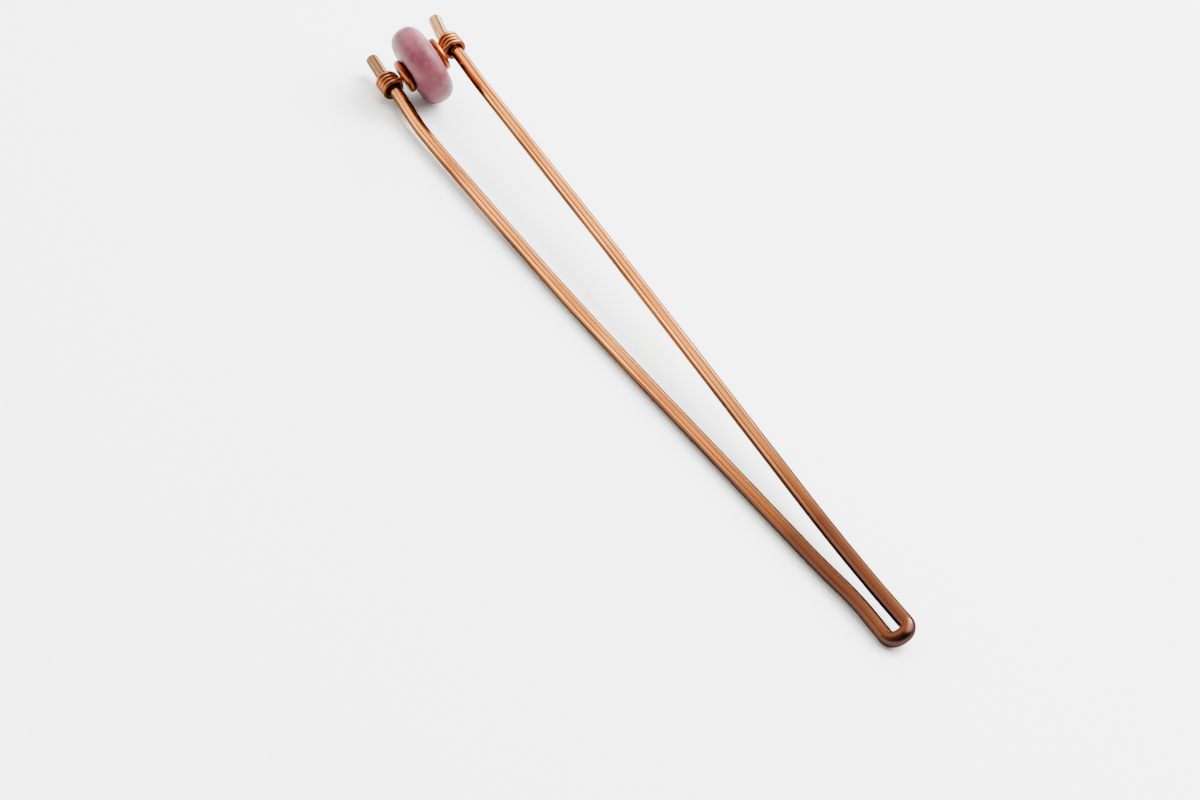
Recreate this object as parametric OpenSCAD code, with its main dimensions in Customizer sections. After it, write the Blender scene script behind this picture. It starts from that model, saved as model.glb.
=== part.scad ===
// Hair stick made of one heavy wire, folded in half and spread into two legs.
// A thick disc bead sits between the legs at the wide end. A thin wire is coiled round one leg,
// crosses through the bead and its two spacers, and is coiled round the other leg.
// The stick is drawn flat first: X across the legs, Y from the fold to the leg ends, Z out of its plane.
// It is then laid down on the table as it rests, over on its left leg and on the rim of the bead.

/* [Folded wire] */
// Diameter of the heavy wire
wire_d = 2.05; // [1.8:0.05:2.4]
// Length from the outside of the fold to the ends of the legs
stick_len = 147; // [125:1:170]
// Clear gap between the legs inside the fold
fold_gap = 0.95; // [0.8:0.05:1.4]
// Radius of the fold's two corners, at the centre of the wire
fold_corner_r = 1.3; // [1.25:0.05:1.35]
// Clear gap where the legs are pinched together past the fold
pinch_gap = 0.8; // [0.5:0.05:0.9]
// Distance of the pinch from the outside of the fold
pinch_at = 9; // [8:0.5:11]
// Bare leg past each coil
stub_len = 5.8; // [4:0.2:9]
// How far the end of the left leg leans towards the bead
left_stub_lean = 0.35; // [0:0.05:0.6]
// How far the end of the right leg leans away from the bead
right_stub_lean = 0.85; // [0:0.05:1.2]
// Radius of the sharpest of the slight bends along the legs, at the centre of the wire
leg_bend_r = 60; // [40:5:65]
// Radius of the small bends on either side of each coil
stub_bend_r = 8; // [6:0.5:10]
// Radius of the filed ends, as a share of the wire's radius
end_dome = 1.35; // [1.2:0.05:1.6]

/* [Bead and spacers] */
// Outside diameter of the bead
bead_d = 13.0; // [11:0.1:14]
// Length of the bead along its hole
bead_len = 5.0; // [4.6:0.1:6]
// Rounding of the bead's two rims
bead_edge_r = 2.2; // [1.5:0.1:2.2]
// Outside diameter of each spacer
spacer_d = 5.6; // [4.6:0.1:6.4]
// Thickness of each spacer
spacer_t = 1.2; // [0.8:0.05:1.4]

/* [Thin wire] */
// Diameter of the thin wire
thin_d = 0.8; // [0.6:0.05:0.9]
// Turns of each coil
coil_turns = 3.75; // [2.75:1:5.75]
// Height of the crossing above the middle of the legs, at the centre of the thin wire
crossing_h = 1.05; // [0.95:0.05:1.3]

/* [Fits] */
// Gap between neighbouring pieces
play = 0.05; // [0.04:0.01:0.08]
// Gap between the thin wire and the holes it runs through
hole_play = 0.2; // [0.15:0.05:0.3]

/* [Hidden] */

round_fn = 96;
bend_fn = 64;
wire_fn = 32;
thin_sides = 10;
thin_steps = 24;
ease_steps = 8;
spot_steps = 12;
settle_steps = 12;

wire_r = wire_d / 2;
thin_r = thin_d / 2;

// Each bend is drawn this much thicker than the straight wire, whose ends run a little way into it
bend_step = 0.01;
bend_lap = 0.05;

// The coils: radius at the centre of the thin wire, and the advance of one turn
coil_r = wire_r + play + thin_r;
coil_pitch = thin_d + play;
coil_len = coil_turns * coil_pitch;

// Across the head, from the middle of the bead out to each leg
spacer_x = bead_len / 2 + play + spacer_t / 2;
leg_x = bead_len / 2 + play + spacer_t + play + thin_r + coil_r;
ease_x = spacer_x + spacer_t / 2;
ease_len = leg_x - ease_x;

// Along the stick, the place where the thin wire crosses between the legs
cross_y = stick_len - stub_len - thin_r - coil_len;
// Straight leg left bare on either side of a coil
coil_margin = 1.5;

fold_x = (fold_gap + wire_d) / 2;
pinch_x = (pinch_gap + wire_d) / 2;

// Slight bends of each leg, from the fold outwards.
// ALONG is the share of the way from the fold to the crossing, ACROSS is the share of the distance
// that the leg stands from the middle at the coils, and EASE is how many times leg_bend_r the bend is.
ALONG = 0;
ACROSS = 1;
EASE = 2;
LEFT_BENDS = [[0.125, 0.38, 3], [0.56, 0.96, 20], [0.87, 1.12, 6], [0.925, 1.12, 1]];
RIGHT_BENDS = [[0.14, 0.265, 8], [0.61, 0.695, 16], [0.93, 0.925, 3]];

function leg_route(side, bends, lean) = [
    [side * pinch_x, pinch_at, leg_bend_r],
    for (b = bends) [side * b[ACROSS] * leg_x, b[ALONG] * cross_y, b[EASE] * leg_bend_r],
    [side * leg_x, cross_y - coil_margin - thin_r, stub_bend_r],
    [side * leg_x, cross_y + coil_len + coil_margin, stub_bend_r],
    [side * (leg_x + lean), stick_len, 0]
];

function reversed(list) = [for (i = [len(list) - 1:-1:0]) list[i]];

left_leg = leg_route(-1, LEFT_BENDS, -left_stub_lean);
right_leg = leg_route(1, RIGHT_BENDS, right_stub_lean);
fold = [[-fold_x, wire_r, fold_corner_r], [fold_x, wire_r, fold_corner_r]];

// The whole wire, from the left leg's end round the fold to the right leg's end.
// Each corner is [x, y, radius of the bend there].
ROUTE = concat(reversed(left_leg), fold, right_leg);

function flat(p) = [p.x, p.y];
function unit(v) = v / norm(v);
function heading(i) = unit(flat(ROUTE[i + 1]) - flat(ROUTE[i]));

// A bend of the wire: [centre of the bend, radius, angle where it starts, angle that it turns]
function bend_at(i) =
    let (
        corner = ROUTE[i],
        before = heading(i - 1),
        after = heading(i),
        turn = atan2(before.x * after.y - before.y * after.x, before * after),
        side = sign(turn),
        start = flat(corner) - before * corner[2] * tan(abs(turn) / 2),
        inward = side * [-before.y, before.x],
        centre = start + inward * corner[2]
    )
    [centre, corner[2], atan2(-inward.y, -inward.x), turn];

function bend_point(bend, share) =
    let (angle = bend[2] + share * bend[3])
    bend[0] + bend[1] * [cos(angle), sin(angle)];

LAST = len(ROUTE) - 1;
BENDS = [for (i = [1:LAST - 1]) bend_at(i)];

// The straight stretches run from the end of one bend to the start of the next
STARTS = concat([flat(ROUTE[0])], [for (b = BENDS) bend_point(b, 1)]);
ENDS = concat([for (b = BENDS) bend_point(b, 0)], [flat(ROUTE[LAST])]);

// How the stick rests. A round spot is [x, y, z, radius], and up is the table's upward direction.
function bend_spots(i) = [
    for (k = [0:spot_steps])
        let (p = bend_point(BENDS[i], k / spot_steps)) [p.x, p.y, 0, wire_r]
];
leg_corners = len(left_leg);
FOLD_SPOTS = concat(bend_spots(leg_corners - 1), bend_spots(leg_corners));
LEFT_SPOTS = concat(
    [for (i = [0:leg_corners - 2]) each bend_spots(i)],
    [for (y = [cross_y, cross_y + coil_len]) [-leg_x, y, 0, coil_r + thin_r]]
);
function bead_spots(up) = let (down = -unit([up.y, up.z]) * (bead_d / 2 - bead_edge_r)) [
    for (side = [-1, 1])
        [side * (bead_len / 2 - bead_edge_r), cross_y + down[0], crossing_h + down[1], bead_edge_r]
];

function height(spot, up) = spot * [up.x, up.y, up.z, -1];
function touch(spots, up) =
    let (
        heights = [for (s = spots) height(s, up)],
        low = spots[search(min(heights), heights)[0]]
    )
    [low.x, low.y, low.z] - low[3] * up;

// Each step lays a plane through the three lowest touching points found for the last one
function settle(up, steps) = steps == 0 ? up :
    let (
        a = touch(FOLD_SPOTS, up),
        b = touch(LEFT_SPOTS, up),
        c = touch(bead_spots(up), up),
        n = unit(cross(c - a, b - a))
    )
    settle(n, steps - 1);

UP = settle([0, 0, 1], settle_steps);
roll = atan2(UP.x, UP.z);
pitch = asin(UP.y);
lift = -min([for (s = concat(FOLD_SPOTS, LEFT_SPOTS, bead_spots(UP))) height(s, UP)]);

// Directions of the table's X and Y axes in the flat drawing, and the middle of the stick along them
TABLE_X = [cos(roll), 0, -sin(roll)];
TABLE_Y = [-sin(pitch) * sin(roll), cos(pitch), -sin(pitch) * cos(roll)];
RIGHT_SPOTS = [for (y = [cross_y, cross_y + coil_len]) [leg_x, y, 0, coil_r + thin_r]];
LEG_ENDS = [for (p = [ROUTE[0], ROUTE[LAST]]) [p.x, p.y, 0, 0]];
EDGE_SPOTS = concat(FOLD_SPOTS, LEFT_SPOTS, RIGHT_SPOTS, LEG_ENDS);
function middle(axis) =
    let (
        far = max([for (s = EDGE_SPOTS) height(s, axis) + 2 * s[3]]),
        near = min([for (s = EDGE_SPOTS) height(s, axis)])
    )
    (far + near) / 2;

module lay_down() {
    translate([-middle(TABLE_X), -middle(TABLE_Y), lift])
        rotate([pitch, 0, 0])
        rotate([0, -roll, 0])
        children();
}

// Turns a child made along Z to run from a flat point in a flat direction
module aim(at, toward) {
    translate([at.x, at.y, 0])
        rotate([0, 0, atan2(toward.y, toward.x)])
        rotate([0, 90, 0])
        children();
}

// A straight length of wire, with a lap at each end that meets a bend
module straight(i) {
    run = ENDS[i] - STARTS[i];
    first_lap = i > 0 ? bend_lap : 0;
    last_lap = i < LAST - 1 ? bend_lap : 0;
    aim(STARTS[i] - first_lap * unit(run), run)
        cylinder(h = norm(run) + first_lap + last_lap, r = wire_r, $fn = wire_fn);
}

module bend(b) {
    first = b[3] > 0 ? b[2] : b[2] + b[3];
    translate([b[0].x, b[0].y, 0])
        rotate([0, 0, first])
        rotate_extrude(angle = abs(b[3]), $fn = bend_fn)
        translate([b[1], 0])
        circle(r = wire_r + bend_step, $fn = wire_fn);
}

// What a file takes off the end of a leg to leave a shallow dome
module filings(at, toward) {
    dome_r = wire_r * end_dome;
    aim(at, toward)
        rotate_extrude($fn = round_fn)
        difference() {
            translate([0, -dome_r])
                square([dome_r, 2 * dome_r]);
            translate([0, -dome_r])
                circle(r = dome_r, $fn = round_fn);
        }
}

module folded_wire() {
    color([0.80, 0.52, 0.36])
    lay_down()
        difference() {
            union() {
                for (i = [0:LAST - 1])
                    straight(i);
                for (b = BENDS)
                    bend(b);
            }
            filings(ROUTE[0], -heading(0));
            filings(ROUTE[LAST], heading(LAST - 1));
        }
}

// Places a child made round the Z axis onto the thin wire, x across from the middle of the bead
module on_crossing(x) {
    lay_down()
        translate([x, cross_y, crossing_h])
        rotate([0, 90, 0])
        children();
}

module bead() {
    core = bead_len - 2 * bead_edge_r;
    hole_r = thin_r + hole_play;
    inner_r = bead_d / 2 - bead_edge_r;
    color([0.66, 0.42, 0.47])
    on_crossing(0)
        rotate_extrude($fn = round_fn)
        union() {
            translate([hole_r, -bead_len / 2])
                square([inner_r - hole_r, bead_len]);
            translate([hole_r, -core / 2])
                square([bead_d / 2 - hole_r, core]);
            for (side = [-1, 1])
                translate([inner_r, side * core / 2])
                    circle(r = bead_edge_r, $fn = wire_fn);
        }
}

module spacer(x) {
    hole_r = thin_r + hole_play;
    rim_r = spacer_t / 2;
    color([0.74, 0.42, 0.24])
    on_crossing(x)
        rotate_extrude($fn = round_fn)
        union() {
            translate([hole_r, -rim_r])
                square([spacer_d / 2 - rim_r - hole_r, spacer_t]);
            translate([spacer_d / 2 - rim_r, 0])
                circle(r = rim_r, $fn = wire_fn);
        }
}

// The thin wire's centre line as [point, direction away from the leg]. Angle 0 is the top of a leg.
function coil_station(side, angle) = [
    [side * leg_x + coil_r * sin(angle), cross_y + coil_pitch * abs(angle) / 360, coil_r * cos(angle)],
    [sin(angle), 0, cos(angle)]
];
// Between a coil and its spacer the thin wire eases down from the top of the leg to the crossing
function ease_station(side, share) =
    let (
        rise = (coil_r - crossing_h) * share * share * (3 - 2 * share),
        slope = 6 * share * (1 - share) * (coil_r - crossing_h) / ease_len,
        up = unit([-side * slope, 0, 1])
    )
    [[side * (ease_x + ease_len * share), cross_y, crossing_h + rise], up];
coil_steps = ceil(coil_turns * thin_steps);
THIN_LINE = concat(
    [for (k = [coil_steps:-1:0]) coil_station(-1, -360 * coil_turns * k / coil_steps)],
    [for (k = [ease_steps - 1:-1:0]) ease_station(-1, k / ease_steps)],
    [for (k = [0:ease_steps - 1]) ease_station(1, k / ease_steps)],
    [for (k = [0:coil_steps]) coil_station(1, 360 * coil_turns * k / coil_steps)]
);

// A round rod along a list of stations: one ring of points at each, square to the line there
module rod(stations, r, sides) {
    count = len(stations);
    rings = [
        for (i = [0:count - 1])
            let (
                ahead = stations[min(i + 1, count - 1)][0] - stations[max(i - 1, 0)][0],
                out = stations[i][1],
                across = unit(cross(ahead, out))
            )
            for (k = [0:sides - 1])
                stations[i][0] + r * (cos(360 * k / sides) * out + sin(360 * k / sides) * across)
    ];
    walls = [
        for (i = [0:count - 2], k = [0:sides - 1])
            let (a = i * sides + k, b = i * sides + (k + 1) % sides)
            [a, b, b + sides, a + sides]
    ];
    first_cap = [for (k = [sides - 1:-1:0]) k];
    last_cap = [for (k = [0:sides - 1]) (count - 1) * sides + k];
    polyhedron(rings, concat(walls, [first_cap, last_cap]), convexity = 10);
}

module binding_wire() {
    color([0.78, 0.44, 0.25])
    lay_down()
        rod(THIN_LINE, thin_r, thin_sides);
}

folded_wire();
bead();
spacer(-spacer_x);  // spacer_left
spacer(spacer_x);  // spacer_right
binding_wire();
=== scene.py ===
"""Looks of the hair stick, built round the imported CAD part.

Blender's objects are in metres and in the part's own frame. The shapes are drawn in the flat drawing that
part.scad uses, in millimetres: X across the legs, Y from the fold to the leg ends, Z out of its plane.
LAY then puts each point where the stick lies on the table.
"""

import math

import bmesh
import bpy
import numpy as np
from mathutils import Matrix, Vector, noise


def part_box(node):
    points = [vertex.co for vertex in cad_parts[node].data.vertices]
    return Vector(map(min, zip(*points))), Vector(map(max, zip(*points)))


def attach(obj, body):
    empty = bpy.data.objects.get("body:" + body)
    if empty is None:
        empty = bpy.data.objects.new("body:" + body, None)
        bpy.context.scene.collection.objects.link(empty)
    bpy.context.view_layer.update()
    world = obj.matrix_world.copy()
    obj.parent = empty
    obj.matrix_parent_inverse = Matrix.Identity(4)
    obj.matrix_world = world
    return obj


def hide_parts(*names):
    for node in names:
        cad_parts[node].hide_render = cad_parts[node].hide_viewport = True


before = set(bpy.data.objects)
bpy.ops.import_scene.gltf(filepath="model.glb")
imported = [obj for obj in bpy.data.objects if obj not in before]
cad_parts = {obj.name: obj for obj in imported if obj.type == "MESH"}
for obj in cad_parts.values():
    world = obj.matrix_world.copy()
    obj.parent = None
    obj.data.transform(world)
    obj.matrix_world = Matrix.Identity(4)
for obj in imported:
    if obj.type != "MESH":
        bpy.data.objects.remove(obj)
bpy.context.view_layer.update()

MM = 0.001

# The same sizes as part.scad, in millimetres
WIRE_R = 2.05 / 2
STICK_LEN = 147
FOLD_GAP = 0.95
FOLD_CORNER_R = 1.3
PINCH_GAP = 0.8
PINCH_AT = 9
STUB_LEN = 5.8
LEFT_STUB_LEAN = 0.35
RIGHT_STUB_LEAN = 0.85
LEG_BEND_R = 60
STUB_BEND_R = 8
DOME_R = 1.35 * WIRE_R
BEAD_D = 13.0
BEAD_LEN = 5.0
BEAD_EDGE_R = 2.2
SPACER_D = 5.6
SPACER_T = 1.2
THIN_R = 0.8 / 2
COIL_TURNS = 3.75
CROSSING_H = 1.05
PLAY = 0.05
HOLE_PLAY = 0.2
COIL_MARGIN = 1.5
COIL_R = WIRE_R + PLAY + THIN_R
COIL_PITCH = 2 * THIN_R + PLAY
COIL_LEN = COIL_TURNS * COIL_PITCH
SPACER_X = BEAD_LEN / 2 + PLAY + SPACER_T / 2
LEG_X = BEAD_LEN / 2 + PLAY + SPACER_T + PLAY + THIN_R + COIL_R
EASE_X = SPACER_X + SPACER_T / 2
EASE_LEN = LEG_X - EASE_X
CROSS_Y = STICK_LEN - STUB_LEN - THIN_R - COIL_LEN
# Each bend of a leg: share of the way to the crossing, share of the way out to the coil, times LEG_BEND_R
LEFT_BENDS = [(0.125, 0.38, 3), (0.56, 0.96, 20), (0.87, 1.12, 6), (0.925, 1.12, 1)]
RIGHT_BENDS = [(0.14, 0.265, 8), (0.61, 0.695, 16), (0.93, 0.925, 3)]

# How the stick lies, as part.scad works it out: degrees, and millimetres
ROLL = 29.072
PITCH = 1.45687
LIFT = 1.68821
MIDDLE_Y = 73.5078

# The pieces drawn here keep this far inside the CAD solids
SKIN = 0.012

# How finely the pieces are drawn: millimetres along the heavy wire, steps, and sides round each piece
STRAIGHT_STEP = 0.6
ARC_STEP = 0.12
DOME_STEPS = 10
WIRE_SIDES = 56
COIL_STEPS = 170
EASE_STEPS = 14
THIN_SIDES = 24
BEAD_SIDES = 160
SPACER_SIDES = 96

# Rounding of the mouths of the holes
BEAD_MOUTH_R = 0.35
SPACER_MOUTH_R = 0.12
# How far a drawn wire swells, how deep the bead and the spacers are worn, and how far round their holes they
# aren't
WIRE_SWELL = 0.006
BEAD_DENT = 0.05
BEAD_UNWORN = 1
SPACER_DENT = 0.03
SPACER_UNWORN = 0.4
# The heavy wire's own points keep this far from the filed domes
DOME_CLEAR = 0.05
# The last rings of the thin wire where it was snipped, as shares of its radius
SNIPPED = (0.80, 0.94)

# Distances from the fold where its painted shade, darker metal where the legs close in, is full and where it
# has faded out
FOLD_SHADE_FULL = 22
FOLD_SHADE_GONE = 62
# Distances from a leg's end where its tip colour is full and where it has faded out: a painted shade on the
# left leg's end and round its coil, a painted highlight on the right leg's end
LEFT_TIP = (7, 17)
RIGHT_TIP = (0, 11)
# Steps from the thin wire's end over which its paler metal fades
THIN_TIP_STEPS = 12
# How much of the tip colour there is at a tip, and what is left of the copper's colour in its draw lines
TIP_STRENGTH = 0.8
DRAW_LINE_TINT = (0.66, 0.54, 0.45)


def lay_down():
    """The matrix from the flat drawing in millimetres to the frame in metres."""
    turn = Matrix.Rotation(math.radians(PITCH), 4, "X") @ Matrix.Rotation(math.radians(-ROLL), 4, "Y")
    move = Matrix.Translation((0, -MIDDLE_Y, LIFT))
    return Matrix.Scale(MM, 4) @ move @ turn


LAY = lay_down()


def fade(at, gone, full):
    """0 at gone and beyond, 1 at full and beyond, and a straight line between."""
    return min(1, max(0, (at - gone) / (full - gone)))


# The heavy wire's line


def leg_route(side, bends, lean):
    points = [(side * (PINCH_GAP / 2 + WIRE_R), PINCH_AT, LEG_BEND_R)]
    points += [(side * across * LEG_X, along * CROSS_Y, ease * LEG_BEND_R) for along, across, ease in bends]
    points.append((side * LEG_X, CROSS_Y - COIL_MARGIN - THIN_R, STUB_BEND_R))
    points.append((side * LEG_X, CROSS_Y + COIL_LEN + COIL_MARGIN, STUB_BEND_R))
    points.append((side * (LEG_X + lean), STICK_LEN, 0))
    return points


def wire_route():
    """The corners of the whole wire from the left leg's end to the right leg's: x, y and the bend's radius."""
    left = leg_route(-1, LEFT_BENDS, -LEFT_STUB_LEAN)
    right = leg_route(1, RIGHT_BENDS, RIGHT_STUB_LEAN)
    half = (FOLD_GAP + 2 * WIRE_R) / 2
    fold = [(-half, WIRE_R, FOLD_CORNER_R), (half, WIRE_R, FOLD_CORNER_R)]
    return left[::-1] + fold + right


def rounded(route):
    """Points along the route with each corner rounded to its radius."""
    corners = [Vector((p[0], p[1])) for p in route]
    line = []

    def straight(a, b):
        count = max(1, round((b - a).length / STRAIGHT_STEP))
        line.extend(a.lerp(b, k / count) for k in range(count))

    at = corners[0]
    for i in range(1, len(route) - 1):
        before = (corners[i] - corners[i - 1]).normalized()
        after = (corners[i + 1] - corners[i]).normalized()
        turn = math.atan2(before.x * after.y - before.y * after.x, before.dot(after))
        radius = route[i][2]
        start = corners[i] - before * radius * math.tan(abs(turn) / 2)
        inward = Vector((-before.y, before.x)) * math.copysign(1, turn)
        centre = start + inward * radius
        first = math.atan2(-inward.y, -inward.x)
        straight(at, start)
        count = max(2, round(abs(turn) * radius / ARC_STEP))
        bend = []
        for k in range(count + 1):
            angle = first + turn * k / count
            bend.append(centre + radius * Vector((math.cos(angle), math.sin(angle))))
        line.extend(bend[:-1])
        at = bend[-1]
    straight(at, corners[-1])
    line.append(corners[-1])
    return line


# Mesh code


def closed_mesh(name, points, faces):
    """A smooth object with its faces turned outwards, from points in the flat drawing."""
    mesh = bpy.data.meshes.new(name)
    mesh.from_pydata([LAY @ p for p in points], [], faces)
    mesh.update()
    bm = bmesh.new()
    bm.from_mesh(mesh)
    bmesh.ops.recalc_face_normals(bm, faces=bm.faces)
    bm.to_mesh(mesh)
    bm.free()
    for poly in mesh.polygons:
        poly.use_smooth = True
    obj = bpy.data.objects.new(name, mesh)
    bpy.context.scene.collection.objects.link(obj)
    return obj


def write_uv(mesh, along, sides):
    """UVs for a swept rod: millimetres along it, and turns round it. Its last two points are its two ends."""
    ends = len(along) - 2
    uv = mesh.uv_layers.new(name="along_round")
    sizes = np.zeros(len(mesh.loops) * 2, np.float32)
    for poly in mesh.polygons:
        points = [mesh.loops[j].vertex_index for j in poly.loop_indices]
        places = [p % sides if p < ends else 0 for p in points]
        # the face that closes a ring runs on to a whole turn
        closes = max(places) - min(places) > sides // 2
        for j, point, place in zip(poly.loop_indices, points, places):
            sizes[2 * j] = along[point]
            sizes[2 * j + 1] = (sides if closes and place == 0 else place) / sides
    uv.data.foreach_set("uv", sizes)


def write_mark(mesh, name, values):
    layer = mesh.attributes.new(name, "FLOAT", "POINT")
    layer.data.foreach_set("value", np.asarray(values, np.float32))


def sweep(name, line, outs, radii, sides, marks):
    """A closed round rod: line and outs are points and outward directions in the flat drawing, and radii
    gives the radius at each point. marks are (name, values along the line) kept on the mesh for its material.
    The mark flank runs from 0 on the side that outs points to, and on its back, to 1 half-way between."""
    points, along, flank = [], [], []
    length = 0.0
    for i, (at, out, radius) in enumerate(zip(line, outs, radii)):
        ahead = line[min(i + 1, len(line) - 1)] - line[max(i - 1, 0)]
        side = ahead.cross(out).normalized()
        up = side.cross(ahead).normalized()
        if i:
            length += (at - line[i - 1]).length
        for k in range(sides):
            angle = 2 * math.pi * k / sides
            points.append(at + radius * (math.cos(angle) * up + math.sin(angle) * side))
            along.append(length)
            flank.append(abs(math.sin(angle)))
    faces = []
    for i in range(len(line) - 1):
        for k in range(sides):
            a, b = i * sides + k, i * sides + (k + 1) % sides
            faces.append((a, b, b + sides, a + sides))
    first, last = len(points), len(points) + 1
    last_ring = first - sides
    for k in range(sides):
        faces.append((first, (k + 1) % sides, k))
        faces.append((last, last_ring + k, last_ring + (k + 1) % sides))
    points += [line[0], line[-1]]
    obj = closed_mesh(name, points, faces)
    write_uv(obj.data, along + [0.0, length], sides)
    for mark, values in marks:
        write_mark(obj.data, mark, np.append(np.repeat(values, sides), [values[0], values[-1]]))
    write_mark(obj.data, "flank", flank + [0.0, 0.0])
    return obj


def lathe(name, x, outline, sides, worn):
    """A ring turned about the thin wire's crossing. outline is a closed list of (radius, distance along the
    hole), and worn(point, away) moves each point inwards a little, where away is its place from the middle."""
    count = len(outline)
    middle = Vector((x, CROSS_Y, CROSSING_H))
    points, faces = [], []
    for k in range(sides):
        angle = 2 * math.pi * k / sides
        beyond = (k + 1) % sides
        for i, (r, h) in enumerate(outline):
            away = Vector((h, r * math.sin(angle), r * math.cos(angle)))
            points.append(worn(middle + away, away))
            j = (i + 1) % count
            faces.append((k * count + i, k * count + j, beyond * count + j, beyond * count + i))
    return closed_mesh(name, points, faces)


def arc(cx, cy, r, first, last, steps):
    angles = [math.radians(first + (last - first) * k / steps) for k in range(steps + 1)]
    return [(cx + r * math.cos(a), cy + r * math.sin(a)) for a in angles]


def ring_outline(hole, half, face, rim, mouth_r, mouth_steps, face_steps):
    """A ring's outline from its hole round: half is half its length, its flat faces reach out to the radius
    face, and rim is the list of points outside that. mouth_r rounds the mouths of its hole."""
    mouth = hole + mouth_r
    shares = [k / face_steps for k in range(1, face_steps)]
    outline = arc(mouth, mouth_r - half, mouth_r, 180, 270, mouth_steps)
    outline += [(mouth + (face - mouth) * s, -half) for s in shares]
    outline += rim
    outline += [(face - (face - mouth) * s, half) for s in shares]
    outline += arc(mouth, half - mouth_r, mouth_r, 90, 180, mouth_steps)
    return outline


# The pieces


def filed_end(tip, inside):
    """The points and radii of a leg's end from its tip inwards, where a file has left a shallow dome."""
    into = (inside - tip).normalized()
    widest = math.asin(WIRE_R / DOME_R)
    points, radii = [], []
    for k in range(DOME_STEPS + 1):
        # the first ring is small but not a point
        angle = widest * (0.03 + 0.97 * k / DOME_STEPS)
        points.append(tip + into * (SKIN + DOME_R - DOME_R * math.cos(angle)))
        radii.append(DOME_R * math.sin(angle))
    return points, radii


def build_folded_wire():
    line = [Vector((p.x, p.y, 0)) for p in rounded(wire_route())]
    reach = [0.0]
    for a, b in zip(line, line[1:]):
        reach.append(reach[-1] + (b - a).length)
    first_points, first_radii = filed_end(line[0], line[1])
    last_points, last_radii = filed_end(line[-1], line[-2])
    dome = DOME_R - math.sqrt(DOME_R**2 - WIRE_R**2) + DOME_CLEAR
    kept = [p for p, s in zip(line, reach) if dome < s < reach[-1] - dome]
    points = first_points + kept + last_points[::-1]
    radii = first_radii + [WIRE_R] * len(kept) + last_radii[::-1]
    # drawn wire is never quite even: it thins and swells a little along its length
    uneven = []
    for p, r in zip(points, radii):
        swell = WIRE_SWELL * noise.noise(Vector((p.x * 0.4, p.y * 0.35, 3.1)))
        uneven.append(max(0.01, r - SKIN + (swell if r > 0.98 * WIRE_R else 0)))

    def tip_mark(side, full, gone):
        return [fade(p.y, STICK_LEN - gone, STICK_LEN - full) if p.x * side > 0 else 0 for p in points]

    marks = [
        # painted shade near the fold, where the legs close in
        ("fold_share", [fade(p.y, FOLD_SHADE_GONE, FOLD_SHADE_FULL) for p in points]),
        # painted shade on the left leg's end and round its coil, and a painted highlight on the right leg's end
        ("left_tip", tip_mark(-1, *LEFT_TIP)),
        ("right_tip", tip_mark(1, *RIGHT_TIP)),
    ]
    return sweep("folded_wire_bare", points, [Vector((0, 0, 1))] * len(points), uneven, WIRE_SIDES, marks)


def coil_place(side, angle):
    """A place on a coil's line and its outward direction. Angle 0 is the top of the leg."""
    a = math.radians(angle)
    y = CROSS_Y + COIL_PITCH * abs(angle) / 360
    place = Vector((side * LEG_X + COIL_R * math.sin(a), y, COIL_R * math.cos(a)))
    return place, Vector((math.sin(a), 0, math.cos(a)))


def ease_place(side, share):
    """The same between the spacer, at share 0, and the top of the leg."""
    drop = COIL_R - CROSSING_H
    rise = drop * share * share * (3 - 2 * share)
    slope = 6 * share * (1 - share) * drop / EASE_LEN
    place = Vector((side * (EASE_X + EASE_LEN * share), CROSS_Y, CROSSING_H + rise))
    return place, Vector((-side * slope, 0, 1)).normalized()


def build_binding_wire():
    turns = [360 * COIL_TURNS * k / COIL_STEPS for k in range(COIL_STEPS + 1)]
    shares = [k / EASE_STEPS for k in range(EASE_STEPS)]
    places = [coil_place(-1, -angle) for angle in reversed(turns)]
    places += [ease_place(-1, share) for share in reversed(shares)]
    places += [ease_place(1, share) for share in shares]
    places += [coil_place(1, angle) for angle in turns]
    count = len(places)
    from_end = [min(i, count - 1 - i) for i in range(count)]
    radii = [(THIN_R - SKIN) * (SNIPPED[k] if k < len(SNIPPED) else 1) for k in from_end]
    ends = [fade(k, THIN_TIP_STEPS, 0) for k in from_end]
    line, outs = zip(*places)
    return sweep("binding_wire_coiled", line, outs, radii, THIN_SIDES, [("tip_share", ends)])


def build_bead():
    hole = THIN_R + HOLE_PLAY + SKIN
    half = BEAD_LEN / 2 - SKIN
    face = BEAD_D / 2 - SKIN - BEAD_EDGE_R
    rim = arc(face, BEAD_EDGE_R - half, BEAD_EDGE_R, 270, 360, 16)
    rim += arc(face, half - BEAD_EDGE_R, BEAD_EDGE_R, 0, 90, 16)

    def worn(p, away):
        # the grinding of the bead leaves it a little uneven, and never proud of its true shape
        if math.hypot(away.y, away.z) < hole + BEAD_UNWORN:
            return p
        n = noise.noise(Vector((p.x * 0.35, p.y * 0.22, p.z * 0.22 + 7)))
        return p - away.normalized() * (BEAD_DENT * (0.5 + 0.5 * n))

    outline = ring_outline(hole, half, face, rim, mouth_r=BEAD_MOUTH_R, mouth_steps=6, face_steps=8)
    return lathe("bead_disc", 0, outline, BEAD_SIDES, worn)


def build_spacer(name, x, seed):
    hole = THIN_R + HOLE_PLAY + SKIN
    half = SPACER_T / 2 - SKIN
    face = SPACER_D / 2 - SKIN - half
    rim = arc(face, 0, half, 270, 450, 18)

    def worn(p, away):
        ring = math.hypot(away.y, away.z)
        if ring < hole + SPACER_UNWORN:
            return p
        n = noise.noise(Vector((p.x * 0.9 + seed, p.y * 0.8, p.z * 0.8)))
        return p - Vector((0, away.y, away.z)) * (SPACER_DENT * (0.5 + 0.5 * n) / ring)

    outline = ring_outline(hole, half, face, rim, mouth_r=SPACER_MOUTH_R, mouth_steps=4, face_steps=5)
    return lathe(name, x, outline, SPACER_SIDES, worn)


# Materials


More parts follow.
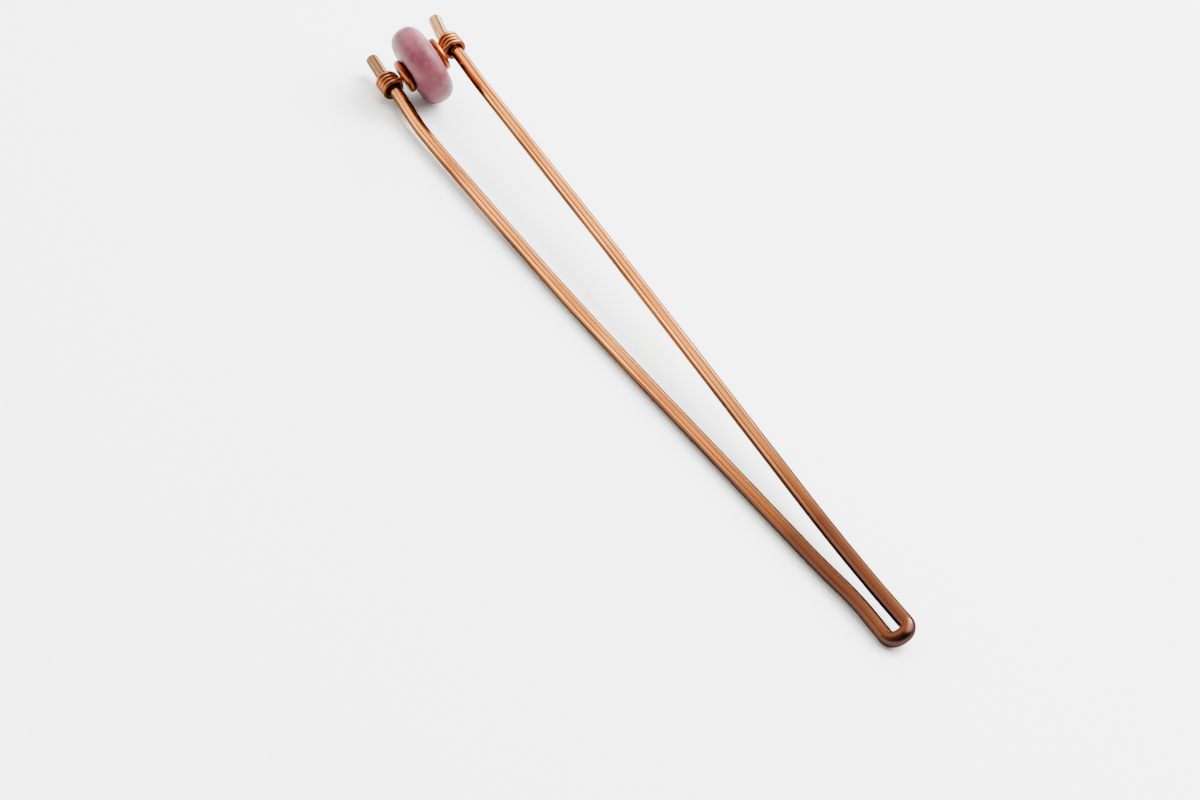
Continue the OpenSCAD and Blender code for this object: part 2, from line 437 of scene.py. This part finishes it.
class Tree:
    """A node tree with a short call for each kind of node that it needs."""

    def __init__(self, tree):
        self.nodes = tree.nodes
        self.links = tree.links

    def put(self, value, socket):
        """Sets a socket to a number, place or colour, or links it to another node's output."""
        if isinstance(value, bpy.types.NodeSocket):
            self.links.new(value, socket)
        elif socket.type == "RGBA":
            socket.default_value = (*value, 1)
        else:
            socket.default_value = value

    def place(self, kind):
        return self.nodes.new("ShaderNodeTexCoord").outputs[kind]

    def mark(self, name):
        node = self.nodes.new("ShaderNodeAttribute")
        node.attribute_name = name
        return node.outputs["Fac"]

    def math(self, operation, *values):
        node = self.nodes.new("ShaderNodeMath")
        node.operation = operation
        for value, socket in zip(values, node.inputs):
            self.put(value, socket)
        return node.outputs[0]

    def vector(self, operation, *values, scale=None):
        node = self.nodes.new("ShaderNodeVectorMath")
        node.operation = operation
        for value, socket in zip(values, node.inputs):
            self.put(value, socket)
        if scale is not None:
            self.put(scale, node.inputs["Scale"])
        return node.outputs["Value" if operation == "DOT_PRODUCT" else "Vector"]

    def map_range(self, value, low, high, to_low, to_high, kind="LINEAR"):
        node = self.nodes.new("ShaderNodeMapRange")
        node.interpolation_type = kind
        sizes = (("From Min", low), ("From Max", high), ("To Min", to_low), ("To Max", to_high))
        for socket, size in (("Value", value), *sizes):
            self.put(size, node.inputs[socket])
        return node.outputs["Result"]

    def mix(self, share, a, b, blend="MIX"):
        node = self.nodes.new("ShaderNodeMix")
        node.data_type = "RGBA"
        node.blend_type = blend
        for value, socket in ((share, 0), (a, 6), (b, 7)):
            self.put(value, node.inputs[socket])
        return node.outputs[2]

    def noise(self, where, scale, detail, output="Fac"):
        node = self.nodes.new("ShaderNodeTexNoise")
        for value, socket in ((where, "Vector"), (scale, "Scale"), (detail, "Detail")):
            self.put(value, node.inputs[socket])
        return node.outputs[output]

    def ramp(self, value, stops):
        node = self.nodes.new("ShaderNodeValToRGB")
        elements = node.color_ramp.elements
        while len(elements) > 1:
            elements.remove(elements[-1])
        elements[0].position = stops[0][0]
        elements[0].color = (*stops[0][1], 1)
        for at, colour in stops[1:]:
            elements.new(at).color = (*colour, 1)
        self.put(value, node.inputs["Fac"])
        return node.outputs["Color"]


class Look(Tree):
    """A procedural material."""

    def __init__(self, name):
        self.material = bpy.data.materials.new(name)
        self.material.use_nodes = True
        super().__init__(self.material.node_tree)
        self.skin = self.nodes["Principled BSDF"]

    def shade(self, values):
        """Puts each value on the shader's socket of that name."""
        for name, value in values.items():
            self.put(value, self.skin.inputs[name])

    def bump(self, height, strength, depth):
        node = self.nodes.new("ShaderNodeBump")
        for value, socket in ((height, "Height"), (strength, "Strength"), (depth, "Distance")):
            self.put(value, node.inputs[socket])
        self.shade({"Normal": node.outputs["Normal"]})


def round_the_wire(look, stretch, width):
    """A place on a rod's skin with no seam: stretch shrinks it along the rod, so that noise runs into lines."""
    uv = look.nodes.new("ShaderNodeUVMap")
    uv.uv_map = "along_round"
    split = look.nodes.new("ShaderNodeSeparateXYZ")
    look.put(uv.outputs["UV"], split.inputs[0])
    angle = look.math("MULTIPLY", split.outputs["Y"], 2 * math.pi)
    join = look.nodes.new("ShaderNodeCombineXYZ")
    look.put(look.math("MULTIPLY", split.outputs["X"], stretch), join.inputs["X"])
    for turn, socket in (("COSINE", "Y"), ("SINE", "Z")):
        look.put(look.math("MULTIPLY", look.math(turn, angle), width), join.inputs[socket])
    return join.outputs[0]


def copper(name, tones, worn, wear_and_shade_mark, flank_shade, flanks, tips, rough, patch):
    """Bare copper with draw lines and cloudy tarnish: patch is the scale of its clouds. worn is the colour put
    where
    its mark for it is: on the heavy wire a painted shade where the legs close in at the fold, on the thin wire
    the metal at its snipped ends. The flank colour is a painted shade on the rod's flanks: the sides of the
    heavy legs, where they mirror the shaded table, and the thin wire's sides between its turns. flanks is where
    on them it
    begins and is full. tips is a list of (mark, colour): on the heavy wire a painted shade on the left leg's
    end and round its coil and a painted highlight on the right leg's end, on the thin wire the paler metal at
    its snipped ends. rough is the lowest and the highest roughness."""
    look = Look(name)
    cloud = look.noise(look.place("Object"), patch, 3)
    lines = look.noise(round_the_wire(look, 0.05, 2.2), 1.6, 4)
    clean = look.ramp(cloud, tones)
    lined = look.mix(1.0, clean, DRAW_LINE_TINT, "MULTIPLY")
    colour = look.mix(look.map_range(lines, 0.35, 0.62, 0.0, 1.0), lined, clean)
    # the mark's share: on the heavy wire it places a painted shade near the fold, on the thin wire its snipped
    # ends
    wear_and_shade_share = look.mark(wear_and_shade_mark)
    patchy = look.math("MULTIPLY", wear_and_shade_share, look.map_range(cloud, 0.3, 0.7, 0.85, 1.15))
    colour = look.mix(patchy, colour, worn)
    # painted shade on the flanks of the rod
    flank = look.map_range(look.mark("flank"), *flanks, 0.0, 1.0)
    flank_shade_share = look.math("MULTIPLY", flank, look.map_range(lines, 0.30, 0.70, 1.0, 0.72))
    colour = look.mix(flank_shade_share, colour, flank_shade)
    # on the heavy wire: painted shade on the left leg by its coil, a painted highlight on the right leg's end
    for mark, metal in tips:
        colour = look.mix(look.math("MULTIPLY", look.mark(mark), TIP_STRENGTH), colour, metal)
    cloudy = look.map_range(cloud, 0.3, 0.7, rough[1], rough[0])
    scored = look.math("ADD", cloudy, look.map_range(lines, 0.3, 0.7, 0.04, -0.02))
    roughness = look.math("ADD", scored, look.math("MULTIPLY", wear_and_shade_share, 0.10))
    look.shade({
        "Base Color": colour,
        "Roughness": roughness,
        "Metallic": 1.0,
        "Specular Tint": (0.55, 0.50, 0.45),
    })
    look.bump(lines, 0.4, 0.02 * MM)
    return look.material


def heavy_copper():
    return copper(
        "heavy_copper",
        tones=[(0.32, (0.50, 0.16, 0.035)), (0.48, (0.68, 0.238, 0.052)), (0.66, (0.78, 0.285, 0.068))],
        # worn here is a painted shade near the fold
        worn=(0.080, 0.026, 0.012),
        wear_and_shade_mark="fold_share",
        # painted shade on the flanks of the legs
        flank_shade=(0.028, 0.016, 0.016),
        flanks=(0.50, 0.72),
        # left: painted shade on the leg's end and round its coil; right: a painted highlight on the leg's end
        tips=[("left_tip", (0.080, 0.058, 0.042)), ("right_tip", (0.40, 0.25, 0.145))],
        rough=(0.10, 0.17),
        patch=55,
    )


def thin_copper():
    return copper(
        "thin_copper",
        tones=[(0.32, (0.23, 0.067, 0.025)), (0.48, (0.38, 0.122, 0.042)), (0.66, (0.50, 0.178, 0.062))],
        worn=(0.30, 0.10, 0.04),
        wear_and_shade_mark="tip_share",
        # painted shade on the thin wire's flanks, between its turns
        flank_shade=(0.05, 0.010, 0.005),
        flanks=(0.45, 0.90),
        tips=[("tip_share", (0.40, 0.16, 0.07))],
        rough=(0.22, 0.34),
        patch=180,
    )


def spacer_copper():
    """The same metal, stamped and left cloudy, with no draw lines; its darker tones are a painted shade for the
    hollow between the bead and the coils.
    """
    look = Look("spacer_copper")
    place = look.place("Object")
    cloud = look.noise(place, 420, 4)
    # darker tones than the heavy wire's: painted shade between the bead and the coils
    tones = [(0.34, (0.14, 0.026, 0.008)), (0.50, (0.25, 0.054, 0.014)), (0.66, (0.37, 0.090, 0.021))]
    roughness = look.map_range(cloud, 0.3, 0.7, 0.38, 0.24)
    look.shade({"Base Color": look.ramp(cloud, tones), "Roughness": roughness, "Metallic": 1.0})
    look.bump(look.noise(place, 2600, 2), 0.3, 0.02 * MM)
    return look.material


def bead_stone():
    """A dusty pink polished stone: cloudy bands across it, pale veins and a soft gloss."""
    look = Look("bead_stone")
    place = look.place("Object")
    warp = look.noise(place, 160, 2, "Color")
    bent = look.vector("MULTIPLY_ADD", warp, (3 * MM, 3 * MM, 3 * MM), place)
    cloud = look.noise(bent, 190, 5)
    vein = look.noise(bent, 420, 3)
    # painted light: the stone is made paler towards its upper far rim, where the light falls, and darker
    # towards its lower near side
    low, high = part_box("bead")
    across = look.vector("DOT_PRODUCT", place, (0, 1, 1))
    paler = look.map_range(across, low[1] + low[2], high[1] + high[2], -0.10, 0.10)
    tones = [
        (0.30, (0.064, 0.0135, 0.0185)),
        (0.46, (0.109, 0.0262, 0.035)),
        (0.60, (0.151, 0.0417, 0.0545)),
        (0.74, (0.198, 0.064, 0.0855)),
    ]
    banded = look.ramp(look.math("ADD", cloud, paler), tones)
    from_vein = look.math("ABSOLUTE", look.math("SUBTRACT", vein, 0.5))
    veined = look.mix(look.map_range(from_vein, 0.0, 0.018, 0.35, 0.0), banded, (0.19, 0.080, 0.10))
    look.shade({
        "Base Color": veined,
        "Roughness": look.map_range(vein, 0.3, 0.7, 0.50, 0.38),
        "Specular IOR Level": 0.20,
        "Specular Tint": (1.0, 0.66, 0.76),
        "Subsurface Weight": 0.15,
        "Subsurface Radius": (1.0, 0.5, 0.5),
        "Subsurface Scale": 0.8 * MM,
        "Coat Weight": 0.06,
        "Coat Roughness": 0.20,
    })
    look.bump(cloud, 0.2, 0.04 * MM)
    return look.material


def build_floor():
    mesh = bpy.data.meshes.new("paper")
    bm = bmesh.new()
    bmesh.ops.create_grid(bm, x_segments=4, y_segments=4, size=2.0)
    bm.to_mesh(mesh)
    bm.free()
    paper = bpy.data.objects.new("paper", mesh)
    bpy.context.scene.collection.objects.link(paper)
    look = Look("white_paper")
    grain = look.noise(look.place("Object"), 1400, 2)
    tone = look.ramp(grain, [(0.3, (0.86, 0.86, 0.86)), (0.7, (0.90, 0.90, 0.90))])
    look.shade({"Base Color": tone, "Roughness": 0.9})
    mesh.materials.append(look.material)


# Camera and light

# The camera as fitted to both legs in the photo: place, and degrees to the right of +Y, down and rolled
CAMERA_PLACE = Vector((-0.164817, -0.252454, 0.20299))
CAMERA_TURNS = (33.037, 35.721, 8.343)
CAMERA_LENS = 78.0


def build_camera():
    camera = bpy.data.cameras.new("camera")
    camera.lens = CAMERA_LENS
    camera.sensor_width = 36.0
    camera.clip_start = 0.01
    obj = bpy.data.objects.new("camera", camera)
    bpy.context.scene.collection.objects.link(obj)
    heading, down, roll = (math.radians(v) for v in CAMERA_TURNS)
    level = Vector((math.sin(heading), math.cos(heading), 0))
    ahead = math.cos(down) * level - Vector((0, 0, math.sin(down)))
    right = Vector((math.cos(heading), -math.sin(heading), 0))
    up = right.cross(ahead)
    x = math.cos(roll) * right + math.sin(roll) * up
    y = -math.sin(roll) * right + math.cos(roll) * up
    turned = Matrix((x, y, -ahead)).transposed().to_4x4()
    obj.matrix_world = Matrix.Translation(CAMERA_PLACE) @ turned
    bpy.context.scene.camera = obj


def area(name, place, target, size, watts, colour):
    light = bpy.data.lights.new(name, "AREA")
    light.shape = "DISK"
    light.size = size
    light.energy = watts
    light.color = colour
    obj = bpy.data.objects.new(name, light)
    obj.location = place
    obj.rotation_euler = (Vector(target) - Vector(place)).to_track_quat("-Z", "Y").to_euler()
    bpy.context.scene.collection.objects.link(obj)


# The light that comes from everywhere
ROOM = 0.45
# The studio's soft boxes: (direction, cosine where it begins, cosine where it is full, light, tint)
STUDIO = [
    ((0.60, -0.10, 1.0), 0.70, 0.90, 11.0, (1.0, 1.0, 1.0)),
    ((1.0, -0.25, 0.35), 0.65, 0.92, 2.0, (1.0, 0.99, 0.97)),
    ((-0.20, 0.70, 0.69), 0.70, 0.94, 3.4, (1.0, 0.99, 0.96)),
    ((0.62, 0.69, 0.36), 0.974, 0.990, 26.0, (1.0, 1.0, 1.0)),
    ((-0.69, 0.69, 0.17), 0.972, 0.990, 7.0, (1.0, 0.99, 0.98)),
    ((-1.0, -0.25, 0.40), 0.60, 0.92, 1.2, (1.0, 0.84, 0.66)),
]
# Dark places, the same with the share of the light that is left: the side where the photographer stands, a gap
# in the ceiling's light, and an upright beside the window
SHADES = [
    ((-0.55, -0.80, 0.25), 0.30, 0.80, 0.35),
    ((0.36, 0.69, 0.63), 0.95, 0.985, 0.45),
    ((-0.58, 0.69, 0.42), 0.981, 0.994, 0.10),
]


def build_light():
    world = bpy.data.worlds.new("studio")
    bpy.context.scene.world = world
    world.use_nodes = True
    tree = Tree(world.node_tree)
    way = tree.place("Generated")

    def spot(direction, begins, full, low, high):
        cosine = tree.vector("DOT_PRODUCT", way, Vector(direction).normalized())
        return tree.map_range(cosine, begins, full, low, high, "SMOOTHSTEP")

    total = (ROOM, ROOM, ROOM)
    for direction, begins, full, light, tint in STUDIO:
        box = tree.vector("SCALE", tint, scale=spot(direction, begins, full, 0.0, light))
        total = tree.vector("ADD", total, box)
    for direction, begins, full, left in SHADES:
        total = tree.vector("SCALE", total, scale=spot(direction, begins, full, 1.0, left))
    background = tree.nodes["Background"]
    tree.put(total, background.inputs["Color"])
    tree.put(1.0, background.inputs["Strength"])
    area("key", (0.34, 0.04, 0.44), (0, 0, 0), 0.24, 7.0, (0.98, 0.99, 1.0))


def print_fit(piece, node):
    """Prints how far the piece stands out of its CAD node's box, and how far it stays short of it."""
    points = np.array([piece.matrix_world @ v.co for v in piece.data.vertices])
    low, high = (np.array(corner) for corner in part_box(node))
    past = np.concatenate([low - points.min(0), points.max(0) - high])
    print(piece.name, "outside by mm", round(past.max() / MM, 4), "short by mm", round(-past.min() / MM, 4))


def main():
    build_camera()
    build_light()
    build_floor()
    spacer_look = spacer_copper()
    pieces = [
        (build_folded_wire(), "folded_wire", "heavy_copper", heavy_copper()),
        (build_bead(), "bead", "bead_stone", bead_stone()),
        (build_spacer("spacer_left_disc", -SPACER_X, 2.0), "spacer_left", "spacer_copper", spacer_look),
        (build_spacer("spacer_right_disc", SPACER_X, 9.0), "spacer_right", "spacer_copper", spacer_look),
        (build_binding_wire(), "binding_wire", "thin_copper", thin_copper()),
    ]
    for piece, node, slot, material in pieces:
        piece.data.materials.append(material)
        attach(piece, "root")
        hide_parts(node)
        print_fit(piece, node)


main()
